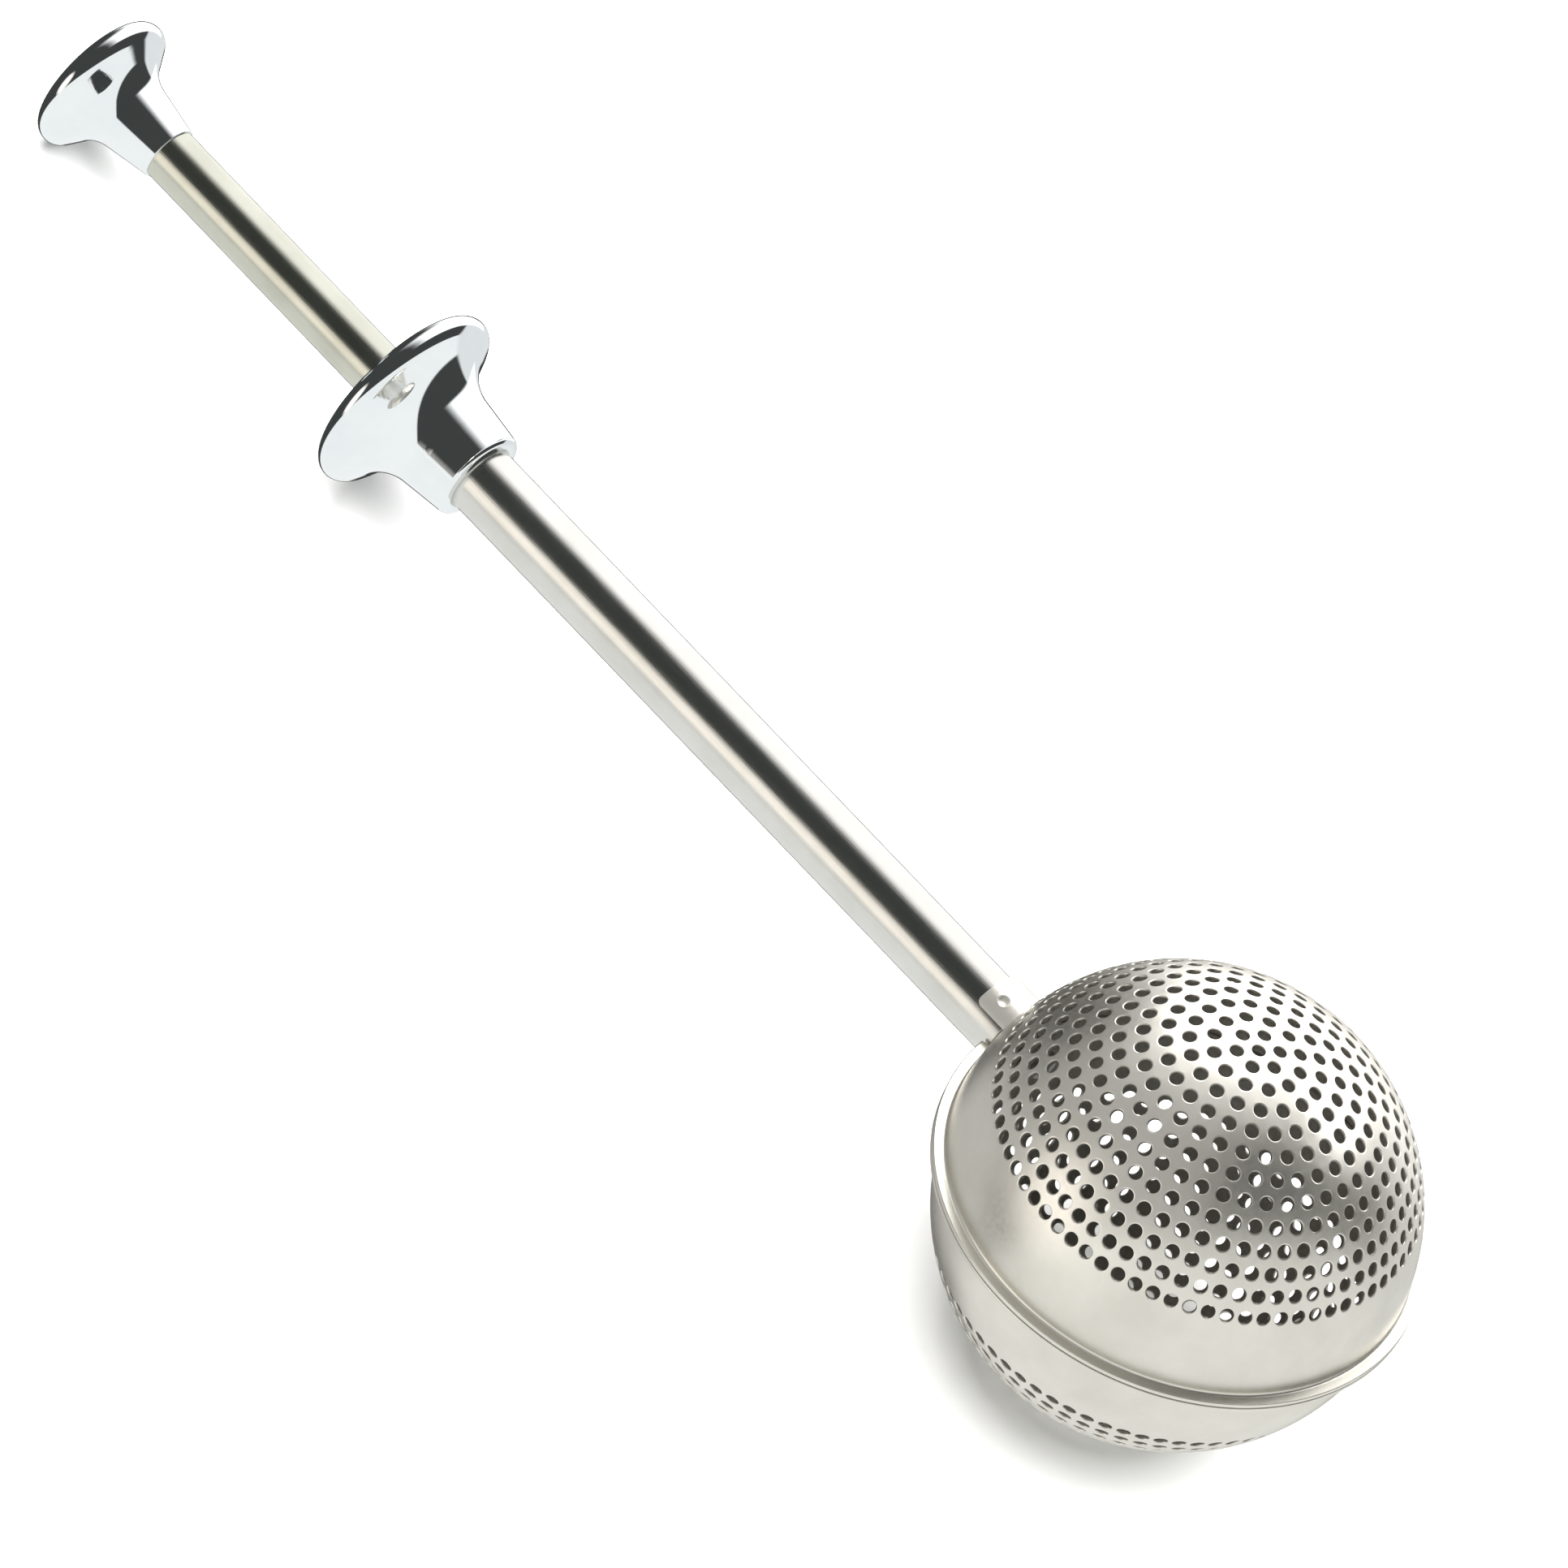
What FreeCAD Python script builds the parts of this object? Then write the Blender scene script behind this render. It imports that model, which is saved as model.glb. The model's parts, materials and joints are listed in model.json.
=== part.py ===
import FreeCAD, Part
import math
import os
import Sketcher
from FreeCAD import Placement, Rotation, Vector

# A push-button tea ball.  Every sub-part is drawn with the centre of the ball at the
# origin, the tube along X with the knob at the -X end, and the fixed hemisphere on the
# +Z side of the parting plane.  At the end the whole assembly is laid down on Z = 0.
# Lengths are in millimetres and angles in degrees.
DIMENSIONS = (
    ("ball_radius", 23.2, "outside radius of both hemispheres"),
    ("sheet_wall", 0.5, "thickness of the pressed sheet"),
    ("flange_radius", 24.4, "outside radius of the rim flange"),
    ("rim_gap", 0.05, "from the parting plane to each flange"),
    ("bend_round", 0.35, "inside radius of the bend between dome and flange"),
    ("lip_round", 0.25, "rounding inside the mouth of each hemisphere"),
    ("flange_edge_round", 0.15, "rounding of the flange's outer edge"),
    ("hole_radius", 0.68, "radius of a strainer hole"),
    ("hole_ring_step", 5.5, "angle between two rings of holes, seen from the ball centre"),
    ("hole_rings", 12, "rings of holes round the hole at the pole"),
    ("holes_per_step", 6, "holes that each ring has more than the one inside it"),
    ("tube_radius", 3.5, "outside radius of the outer tube"),
    ("tube_bore", 2.85, "inside radius of the outer tube"),
    ("tube_foot", 23.35, "from the ball centre to the foot of the outer tube"),
    ("tube_recess", 0.3, "from the collar's top down to the tube's top"),
    ("saddle_half_angle", 48, "half of the angle that the saddle tab wraps"),
    ("saddle_length", 3.6, "length of the saddle tab along the tube"),
    ("saddle_root", 22.6, "from the ball centre to where the tab is buried in the wall"),
    ("saddle_corner", 0.7, "radius of the tab's free corners"),
    ("saddle_bend", 0.5, "radius of the bend between the tab and the dome"),
    ("dimple_radius", 0.55, "radius of a spot-weld dimple"),
    ("dimple_depth", 0.14, "depth of a spot-weld dimple"),
    ("dimple_angle", 20, "from the top of the tab round to each dimple"),
    ("flange_notch", 3.9, "half width of the gap in the flange at the tube"),
    ("rod_radius", 1.5, "radius of the push rod"),
    ("rod_clearance", 0.3, "between the rod and the rim of the fixed hemisphere"),
    ("rod_end", 18.6, "from the ball centre to the rod's end"),
    ("trough_root", 22.95, "from the ball centre to where the rod's trough is buried"),
    ("trough_end", 19.4, "from the ball centre to the end of the rod's trough"),
    ("trough_half_angle", 78, "half of the angle that the trough wraps round the rod"),
    ("collar_place", 110.5, "from the ball centre to the middle of the collar's rim"),
    ("collar_rim_place", 9.0, "radius of the circle that the collar's rim follows"),
    ("collar_rim_round", 1.3, "radius of the collar's rounded rim"),
    ("collar_cone", 62, "angle of the collar's underside, 90 being flat"),
    ("collar_flare", 5.2, "radius of the curve from the underside into the neck"),
    ("collar_taper", 6.8, "half angle of the collar's neck"),
    ("collar_neck", 4.85, "radius of the neck's end"),
    ("collar_length", 11.0, "from the middle of the rim to the neck's end"),
    ("collar_neck_round", 0.45, "rounding of the neck's end"),
    ("knob_place", 154.0, "from the ball centre to the middle of the knob's rim"),
    ("knob_rim_place", 6.15, "radius of the circle that the knob's rim follows"),
    ("knob_rim_round", 1.4, "radius of the knob's rounded rim"),
    ("knob_cone", 54, "angle of the knob's underside, 90 being flat"),
    ("knob_flare", 3.8, "radius of the curve from the underside into the neck"),
    ("knob_taper", 9.7, "half angle of the knob's neck"),
    ("knob_neck", 2.95, "radius of the neck's end"),
    ("knob_length", 9.8, "from the middle of the rim to the neck's end"),
    ("knob_neck_round", 0.08, "rounding of the neck's end"),
    ("knob_bore_depth", 7.0, "depth of the knob's hole for the plunger tube"),
    ("plunger_radius", 2.775, "outside radius of the plunger tube"),
    ("plunger_bore", 2.275, "inside radius of the plunger tube"),
    ("plunger_foot", 76, "from the ball centre to the plunger tube's foot"),
    ("plug_stem", 6, "length of the plug inside the plunger tube"),
    ("plug_head_radius", 2.7, "radius of the plug's head"),
    ("plug_head", 1.2, "thickness of the plug's head"),
    ("plug_socket", 5, "length of the rod inside the plug"),
    ("washer_radius", 2.65, "outside radius of the spring's washers"),
    ("washer_bore", 1.65, "inside radius of the spring's washers"),
    ("washer_thickness", 0.4, "thickness of the spring's washers"),
    ("bush_length", 5.65, "length of the guide bush in the tube's foot"),
    ("bush_bore", 1.55, "inside radius of the guide bush"),
    ("small_chamfer", 0.2, "chamfer on the ends of turned pieces"),
    ("spring_radius", 2.25, "mean radius of the return spring"),
    ("spring_wire", 0.25, "radius of the spring's wire"),
    ("spring_pitch", 2.4, "distance from one turn to the next, at rest"),
    ("spring_play", 0.05, "gap between the spring and the upper washer, at rest"),
)

document = FreeCAD.newDocument("tea_ball")


def make_sheet():
    """Put every dimension into one spreadsheet, each under its own name."""
    sheet = document.addObject("Spreadsheet::Sheet", "sizes")
    for row, (name, number, meaning) in enumerate(DIMENSIONS, start=1):
        sheet.set(f"A{row}", name)
        sheet.set(f"B{row}", str(number))
        sheet.setAlias(f"B{row}", name)
        sheet.set(f"C{row}", meaning)
    document.recompute()
    return sheet


sizes = make_sheet()


def number(formula):
    """What a formula on the spreadsheet comes to."""
    result = sizes.evalExpression(formula)
    return float(getattr(result, "Value", result))


def new_body(name):
    body = document.addObject("PartDesign::Body", name)
    body.Label = name
    return body


def origin_feature(body, role):
    return next(f for f in body.Origin.OriginFeatures if f.Role == role)


def new_sketch(body, name, role):
    sketch = body.newObject("Sketcher::SketchObject", name)
    sketch.AttachmentSupport = [(origin_feature(body, role), "")]
    sketch.MapMode = "FlatFace"
    return sketch


def bind(sketch, constraint, formula):
    """Add a constraint whose size follows a formula on the spreadsheet."""
    index = sketch.addConstraint(constraint)
    sketch.setExpression(f"Constraints[{index}]", formula)


def place_point(sketch, geometry, end, across, up):
    """Fix a point at a pair of formulas; a formula of None leaves that way free."""
    if across == "0":
        sketch.addConstraint(Sketcher.Constraint("PointOnObject", geometry, end, -2))
    elif across:
        constraint = Sketcher.Constraint("DistanceX", -1, 1, geometry, end, number(across))
        bind(sketch, constraint, across)
    if up == "0":
        sketch.addConstraint(Sketcher.Constraint("PointOnObject", geometry, end, -1))
    elif up:
        constraint = Sketcher.Constraint("DistanceY", -1, 1, geometry, end, number(up))
        bind(sketch, constraint, up)


def add_line(sketch, start, finish):
    return sketch.addGeometry(Part.LineSegment(start, finish), False)


def add_arc(sketch, centre, start, finish, clockwise):
    """Add an arc; gives its number and which of its ends are the start and the finish."""
    first, last = (finish, start) if clockwise else (start, finish)
    angles = [math.atan2(p.y - centre.y, p.x - centre.x) for p in (first, last)]
    if angles[1] <= angles[0]:
        angles[1] += 2 * math.pi
    circle = Part.Circle(centre, Vector(0, 0, 1), (start - centre).Length)
    geometry = sketch.addGeometry(Part.ArcOfCircle(circle, *angles), False)
    return (geometry, 2, 1) if clockwise else (geometry, 1, 2)


def add_polygon(sketch, corners):
    """Closed outline of straight sides through corners given as pairs of formulas."""
    points = [Vector(number(x), number(y), 0) for x, y in corners]
    sides = [add_line(sketch, p, points[(i + 1) % len(points)]) for i, p in enumerate(points)]
    for i, side in enumerate(sides):
        following = sides[(i + 1) % len(sides)]
        sketch.addConstraint(Sketcher.Constraint("Coincident", side, 2, following, 1))
        place_point(sketch, side, 1, *corners[i])
    return sides


def add_circle(sketch, radius):
    circle = Part.Circle(Vector(0, 0, 0), Vector(0, 0, 1), number(radius))
    geometry = sketch.addGeometry(circle, False)
    sketch.addConstraint(Sketcher.Constraint("Coincident", geometry, 3, -1, 1))
    bind(sketch, Sketcher.Constraint("Radius", geometry, number(radius)), radius)


def revolve(body, sketch, axis, kind="Revolution"):
    feature = body.newObject(f"PartDesign::{kind}", f"{sketch.Name}_turned")
    feature.Profile = sketch
    feature.ReferenceAxis = (sketch, [axis])
    feature.Angle = 360
    document.recompute()
    return feature


def extrude(body, sketch, length, kind="Pad", both_ways=False, reverse=False):
    feature = body.newObject(f"PartDesign::{kind}", f"{sketch.Name}_long")
    feature.Profile = sketch
    feature.setExpression("Length", length)
    feature.Midplane = both_ways
    feature.Reversed = reverse
    feature.Refine = False
    document.recompute()
    return feature


def dress(body, kind, edges, size):
    """Round or chamfer the edges of the body's last feature that pass a test."""
    base = body.Tip
    names = [f"Edge{i}" for i, e in enumerate(base.Shape.Edges, start=1) if edges(e)]
    feature = body.newObject(f"PartDesign::{kind}", f"{body.Name}_{kind.lower()}")
    feature.Base = (base, names)
    feature.setExpression("Radius" if kind == "Fillet" else "Size", size)
    document.recompute()
    return feature


def is_circle(edge, centre, radius):
    """Whether an edge lies on a circle with this centre and radius."""
    if edge.Degenerated:
        return False
    curve = edge.Curve
    return (
        isinstance(curve, Part.Circle)
        and abs(curve.Radius - radius) < 1e-4
        and (curve.Center - centre).Length < 1e-4
    )


def is_circle_at(edge, x, radius):
    """Whether an edge is a circle about the X axis with this place and size."""
    return is_circle(edge, Vector(x, 0, 0), radius)


# ---- trumpet-shaped pieces: the knob and the thumb collar ----


def trumpet_guess(kind):
    """Where the outline's tangent points lie, so that the sketch starts out solved."""
    cone = math.radians(number(f"sizes.{kind}_cone"))
    taper = math.radians(number(f"sizes.{kind}_taper"))
    flare = number(f"sizes.{kind}_flare")
    rim = number(f"sizes.{kind}_rim_round")
    rim_centre = Vector(0, number(f"sizes.{kind}_rim_place"), 0)
    end = Vector(number(f"sizes.{kind}_length"), number(f"sizes.{kind}_neck"), 0)
    cone_start = rim_centre + Vector(math.sin(cone), math.cos(cone), 0) * rim
    down_cone = Vector(math.cos(cone), -math.sin(cone), 0)
    down_neck = Vector(math.cos(taper), -math.sin(taper), 0)
    gap = end - cone_start
    turn = down_cone.x * down_neck.y - down_cone.y * down_neck.x
    along = (gap.x * down_neck.y - gap.y * down_neck.x) / turn
    corner = cone_start + down_cone * along
    reach = flare * math.tan((cone - taper) / 2)
    flare_start = corner - down_cone * reach
    flare_end = corner + down_neck * reach
    flare_centre = flare_end + Vector(math.sin(taper), math.cos(taper), 0) * flare
    return rim_centre, cone_start, flare_start, flare_centre, flare_end, end


def trumpet_outline(sketch, kind, inner_corners):
    """Rounded rim, conical underside, flare and tapered neck, closed by inner corners.

    The inner corners run from the neck's end back to the top, on the bore or the axis.
    """
    rim_centre, cone_start, flare_start, flare_centre, flare_end, end = trumpet_guess(kind)
    top = -number(f"sizes.{kind}_rim_round")
    inner = [Vector(number(x), number(y), 0) for x, y in inner_corners]
    rim_start = Vector(top, rim_centre.y, 0)
    face = add_line(sketch, inner[-1], rim_start)
    rim, rim_first, rim_last = add_arc(sketch, rim_centre, rim_start, cone_start, True)
    cone = add_line(sketch, cone_start, flare_start)
    flare, flare_first, flare_last = add_arc(sketch, flare_centre, flare_start, flare_end, False)
    neck = add_line(sketch, flare_end, end)
    inside = [add_line(sketch, a, b) for a, b in zip([end, *inner[:-1]], inner)]

    place_point(sketch, rim, 3, "0", f"sizes.{kind}_rim_place")
    rim_radius = Sketcher.Constraint("Radius", rim, -top)
    bind(sketch, rim_radius, f"sizes.{kind}_rim_round")
    sketch.addConstraint(Sketcher.Constraint("Tangent", face, 2, rim, rim_first))
    sketch.addConstraint(Sketcher.Constraint("Vertical", face))
    sketch.addConstraint(Sketcher.Constraint("Tangent", rim, rim_last, cone, 1))
    sketch.addConstraint(Sketcher.Constraint("Tangent", cone, 2, flare, flare_first))
    sketch.addConstraint(Sketcher.Constraint("Tangent", flare, flare_last, neck, 1))
    for line, angle in ((cone, f"sizes.{kind}_cone"), (neck, f"sizes.{kind}_taper")):
        slope = Sketcher.Constraint("Angle", line, -math.radians(number(angle)))
        bind(sketch, slope, f"-{angle}")
    flare_radius = Sketcher.Constraint("Radius", flare, number(f"sizes.{kind}_flare"))
    bind(sketch, flare_radius, f"sizes.{kind}_flare")
    place_point(sketch, neck, 2, f"sizes.{kind}_length", f"sizes.{kind}_neck")

    chain = [neck, *inside, face]
    for one, following in zip(chain, chain[1:]):
        sketch.addConstraint(Sketcher.Constraint("Coincident", one, 2, following, 1))
    for line, (x, y) in zip(inside[:-1], inner_corners[:-1]):
        place_point(sketch, line, 2, x, y)
    place_point(sketch, inside[-1], 2, None, inner_corners[-1][1])


def make_trumpet(name, kind, inner_corners):
    body = new_body(name)
    sketch = new_sketch(body, f"{name}_outline", "XY_Plane")
    trumpet_outline(sketch, kind, inner_corners)
    revolve(body, sketch, "H_Axis")
    x, radius = number(f"sizes.{kind}_length"), number(f"sizes.{kind}_neck")
    dress(body, "Fillet", lambda e: is_circle_at(e, x, radius), f"sizes.{kind}_neck_round")
    return body, f"-sizes.{kind}_place"


def make_collar():
    bore = "sizes.tube_radius"
    corners = [("sizes.collar_length", bore), ("-sizes.collar_rim_round", bore)]
    return make_trumpet("thumb_collar", "collar", corners)


def make_knob():
    bore = "sizes.plunger_radius"
    floor = "sizes.knob_length - sizes.knob_bore_depth"
    corners = [
        ("sizes.knob_length", bore),
        (floor, bore),
        (floor, "0"),
        ("-sizes.knob_rim_round", "0"),
    ]
    return make_trumpet("knob", "knob", corners)


# ---- round pieces along the tube ----


def make_ring(name, outer, inner, length, chamfered=False):
    """Tube, bush or washer along X from its own origin."""
    body = new_body(name)
    sketch = new_sketch(body, f"{name}_section", "YZ_Plane")
    add_circle(sketch, outer)
    add_circle(sketch, inner)
    extrude(body, sketch, length)
    if chamfered:
        ends = (0, number(length))
        outside = number(outer)
        dress(
            body,
            "Chamfer",
            lambda e: any(is_circle_at(e, x, outside) for x in ends),
            "sizes.small_chamfer",
        )
    return body


def make_outer_tube():
    top = "sizes.collar_place + sizes.collar_rim_round - sizes.tube_recess"
    length = f"{top} - sizes.tube_foot"
    body = make_ring("outer_tube", "sizes.tube_radius", "sizes.tube_bore", length)
    return body, f"-({top})"


def make_plunger_tube():
    top = "sizes.knob_place - sizes.knob_length + sizes.knob_bore_depth"
    length = f"{top} - sizes.plunger_foot"
    body = make_ring("plunger_tube", "sizes.plunger_radius", "sizes.plunger_bore", length)
    return body, f"-({top})"


def make_guide_bush():
    body = make_ring("guide_bush", "sizes.tube_bore", "sizes.bush_bore", "sizes.bush_length", True)
    return body, "-(sizes.tube_foot + sizes.bush_length)"


def make_upper_washer():
    size = ("sizes.washer_radius", "sizes.washer_bore", "sizes.washer_thickness")
    return make_ring("upper_washer", *size), "-(sizes.plunger_foot - sizes.plug_head)"


def make_lower_washer():
    size = ("sizes.washer_radius", "sizes.washer_bore", "sizes.washer_thickness")
    place = "-(sizes.tube_foot + sizes.bush_length + sizes.washer_thickness)"
    return make_ring("lower_washer", *size), place


def make_plug():
    """Plug in the plunger tube's foot, with a socket for the rod and a head for the spring."""
    body = new_body("plunger_plug")
    sketch = new_sketch(body, "plug_outline", "XY_Plane")
    head, stem, rod = "sizes.plug_head_radius", "sizes.plunger_bore", "sizes.rod_radius"
    socket = "sizes.plug_head - sizes.plug_socket"
    corners = [
        ("-sizes.plug_stem", "0"),
        ("-sizes.plug_stem", stem),
        ("0", stem),
        ("0", head),
        ("sizes.plug_head", head),
        ("sizes.plug_head", rod),
        (socket, rod),
        (socket, "0"),
    ]
    add_polygon(sketch, corners)
    revolve(body, sketch, "H_Axis")
    end, radius = -number("sizes.plug_stem"), number(stem)
    dress(body, "Chamfer", lambda e: is_circle_at(e, end, radius), "sizes.small_chamfer")
    return body, "-sizes.plunger_foot"


def make_rod():
    body = new_body("push_rod")
    sketch = new_sketch(body, "rod_section", "YZ_Plane")
    add_circle(sketch, "sizes.rod_radius")
    top = "sizes.plunger_foot - sizes.plug_head + sizes.plug_socket"
    length = f"{top} - sizes.rod_end"
    extrude(body, sketch, length)
    radius, ends = number("sizes.rod_radius"), (0, number(length))
    dress(
        body,
        "Chamfer",
        lambda e: any(is_circle_at(e, x, radius) for x in ends),
        "sizes.small_chamfer",
    )
    return body, f"-({top})"


def make_spring():
    """Coil spring along X, standing on the lower washer and ending just short of the upper one."""
    body = new_body("return_spring")
    sketch = new_sketch(body, "spring_wire_section", "XY_Plane")
    wire = number("sizes.spring_wire")
    circle = Part.Circle(Vector(wire, number("sizes.spring_radius"), 0), Vector(0, 0, 1), wire)
    sketch.addGeometry(circle, False)
    place_point(sketch, 0, 3, "sizes.spring_wire", "sizes.spring_radius")
    bind(sketch, Sketcher.Constraint("Radius", 0, wire), "sizes.spring_wire")
    helix = body.newObject("PartDesign::AdditiveHelix", "spring_coil")
    helix.Profile = sketch
    helix.ReferenceAxis = (sketch, ["H_Axis"])
    helix.Mode = "pitch-height-angle"
    helix.setExpression("Pitch", "sizes.spring_pitch")
    upper = "sizes.plunger_foot - sizes.plug_head - sizes.washer_thickness"
    lower = "sizes.tube_foot + sizes.bush_length + sizes.washer_thickness"
    height = f"{upper} - ({lower}) - sizes.spring_play - 2 * sizes.spring_wire"
    helix.setExpression("Height", height)
    document.recompute()
    return body, f"sizes.spring_play - ({upper})"


# ---- the two hemispheres ----


def dome_outline(sketch):
    """Half of the section through a pressed hemisphere and its flange, about V."""
    ball, wall, gap = "sizes.ball_radius", "sizes.sheet_wall", "sizes.rim_gap"
    outer, inner = number(ball), number(f"{ball} - {wall}")
    under, over = number(gap), number(f"{gap} + {wall}")
    edge = number("sizes.flange_radius")
    centre = Vector(0, 0, 0)
    outer_foot = Vector(math.sqrt(outer**2 - over**2), over, 0)
    inner_foot = Vector(math.sqrt(inner**2 - under**2), under, 0)
    outside, top, foot = add_arc(sketch, centre, Vector(0, outer, 0), outer_foot, True)
    over_flange = add_line(sketch, outer_foot, Vector(edge, over, 0))
    rim = add_line(sketch, Vector(edge, over, 0), Vector(edge, under, 0))
    under_flange = add_line(sketch, Vector(edge, under, 0), inner_foot)
    inside, inner_start, inner_top = add_arc(
        sketch, centre, inner_foot, Vector(0, inner, 0), False
    )
    closing = add_line(sketch, Vector(0, inner, 0), Vector(0, outer, 0))
    for one, end, following, start in (
        (outside, foot, over_flange, 1),
        (over_flange, 2, rim, 1),
        (rim, 2, under_flange, 1),
        (under_flange, 2, inside, inner_start),
        (inside, inner_top, closing, 1),
        (closing, 2, outside, top),
    ):
        sketch.addConstraint(Sketcher.Constraint("Coincident", one, end, following, start))
    for arc, first, radius in ((outside, top, ball), (inside, inner_top, f"{ball} - {wall}")):
        sketch.addConstraint(Sketcher.Constraint("Coincident", arc, 3, -1, 1))
        place_point(sketch, arc, first, "0", None)
        bind(sketch, Sketcher.Constraint("Radius", arc, number(radius)), radius)
    place_point(sketch, outside, foot, None, f"{gap} + {wall}")
    place_point(sketch, rim, 1, "sizes.flange_radius", f"{gap} + {wall}")
    place_point(sketch, rim, 2, "sizes.flange_radius", gap)
    place_point(sketch, inside, inner_start, None, gap)


def make_dome(name):
    """Plain hemisphere with its flange, the pole at +Z, and a gap in the flange for the tube."""
    body = new_body(name)
    sketch = new_sketch(body, f"{name}_outline", "XZ_Plane")
    dome_outline(sketch)
    revolve(body, sketch, "V_Axis")
    ball, edge = number("sizes.ball_radius"), number("sizes.flange_radius")
    under, over = number("sizes.rim_gap"), number("sizes.rim_gap + sizes.sheet_wall")
    bend = math.sqrt(ball**2 - over**2)
    lip = math.sqrt((ball - number("sizes.sheet_wall")) ** 2 - under**2)
    low, high = Vector(0, 0, under), Vector(0, 0, over)
    dress(body, "Fillet", lambda e: is_circle(e, high, bend), "sizes.bend_round")
    dress(body, "Fillet", lambda e: is_circle(e, low, lip), "sizes.lip_round")
    dress(
        body,
        "Fillet",
        lambda e: is_circle(e, low, edge) or is_circle(e, high, edge),
        "sizes.flange_edge_round",
    )
    gap = new_sketch(body, f"{name}_tube_gap", "XY_Plane")
    far, near = "-(sizes.flange_radius + 1)", "-(sizes.ball_radius + sizes.rim_gap)"
    side = "sizes.flange_notch"
    add_polygon(gap, [(far, f"-{side}"), (near, f"-{side}"), (near, side), (far, side)])
    extrude(body, gap, "4 * sizes.sheet_wall", "Pocket", both_ways=True)
    return body


def add_sector(body, name, inner, wall, half_angle, start, length):
    """Curved strip along X that wraps the tube or the rod on its pole side."""
    sketch = new_sketch(body, name, "YZ_Plane")
    sketch.AttachmentOffset = Placement(Vector(0, 0, number(start)), Rotation())
    sketch.setExpression(".AttachmentOffset.Base.z", start)
    outer = f"{inner} + {wall}"
    half = math.radians(number(half_angle))
    ways = [Vector(math.sin(turn), math.cos(turn), 0) for turn in (half, -half)]
    far = [way * number(outer) for way in ways]
    near = [way * number(inner) for way in ways]
    centre = Vector(0, 0, 0)
    outside, _, _ = add_arc(sketch, centre, far[0], far[1], False)
    inside, _, _ = add_arc(sketch, centre, near[0], near[1], False)
    ends = [add_line(sketch, n, f) for n, f in zip(near, far)]
    for arc, radius in ((outside, outer), (inside, inner)):
        sketch.addConstraint(Sketcher.Constraint("Coincident", arc, 3, -1, 1))
        bind(sketch, Sketcher.Constraint("Radius", arc, number(radius)), radius)
    for end, line, sign in ((1, ends[0], "-"), (2, ends[1], "+")):
        sketch.addConstraint(Sketcher.Constraint("Coincident", line, 1, inside, end))
        sketch.addConstraint(Sketcher.Constraint("Coincident", line, 2, outside, end))
        sketch.addConstraint(Sketcher.Constraint("PointOnObject", -1, 1, line))
        angle = f"90 {sign} {half_angle}"
        bind(sketch, Sketcher.Constraint("Angle", line, math.radians(number(angle))), angle)
    extrude(body, sketch, length)
    return sketch


def cut_rod_way(body, radius):
    """Cut a round way for the rod through the wall beside the tube."""
    sketch = new_sketch(body, f"{body.Name}_rod_way", "YZ_Plane")
    start = "-(sizes.flange_radius + 1)"
    sketch.AttachmentOffset = Placement(Vector(0, 0, number(start)), Rotation())
    sketch.setExpression(".AttachmentOffset.Base.z", start)
    add_circle(sketch, radius)
    length = "sizes.flange_radius + 1 - sizes.rod_end"
    extrude(body, sketch, length, "Pocket", reverse=True)


def press_dimple(body, name, angle):
    """Sink a shallow round dimple into the outside of the saddle tab."""
    wide, deep = number("sizes.dimple_radius"), number("sizes.dimple_depth")
    ball = (wide**2 + deep**2) / (2 * deep)
    reach = number("sizes.tube_radius + sizes.sheet_wall") + ball - deep
    turn = math.radians(angle)
    x = -number("sizes.tube_foot + sizes.saddle_length / 2")
    dimple = body.newObject("PartDesign::SubtractiveSphere", name)
    dimple.Radius = ball
    dimple.Placement = Placement(
        Vector(x, reach * math.sin(turn), reach * math.cos(turn)), Rotation()
    )
    document.recompute()


def body_from(name, strainer):
    """New body that starts from the pierced dome."""
    body = new_body(name)
    body.BaseFeature = strainer
    document.recompute()
    return body


def make_front_shell(strainer):
    """Fixed hemisphere, with the saddle tab that is welded round the tube's foot."""
    body = body_from("front_shell", strainer)
    start = "-(sizes.tube_foot + sizes.saddle_length)"
    add_sector(
        body,
        "saddle_section",
        "sizes.tube_radius",
        "sizes.sheet_wall",
        "sizes.saddle_half_angle",
        start,
        "sizes.tube_foot + sizes.saddle_length - sizes.saddle_root",
    )
    x, wall = number(start), number("sizes.sheet_wall")
    dress(
        body,
        "Fillet",
        lambda e: abs(e.Length - wall) < 1e-4 and all(abs(v.X - x) < 1e-4 for v in e.Vertexes),
        "sizes.saddle_corner",
    )
    outside = number("sizes.tube_radius + sizes.sheet_wall")
    root = -math.sqrt(number("sizes.ball_radius") ** 2 - outside**2)
    dress(body, "Fillet", lambda e: is_circle_at(e, root, outside), "sizes.saddle_bend")
    for side in (-1, 1):
        press_dimple(body, f"dimple_{side + 2}", side * number("sizes.dimple_angle"))
    cut_rod_way(body, "sizes.rod_radius + sizes.rod_clearance")
    return body


def make_back_shell(strainer):
    """Moving hemisphere, with the trough that is welded to the push rod."""
    body = body_from("back_shell", strainer)
    add_sector(
        body,
        "trough_section",
        "sizes.rod_radius",
        "sizes.sheet_wall",
        "sizes.trough_half_angle",
        "-sizes.trough_root",
        "sizes.trough_root - sizes.trough_end",
    )
    cut_rod_way(body, "sizes.rod_radius")
    return body


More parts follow.
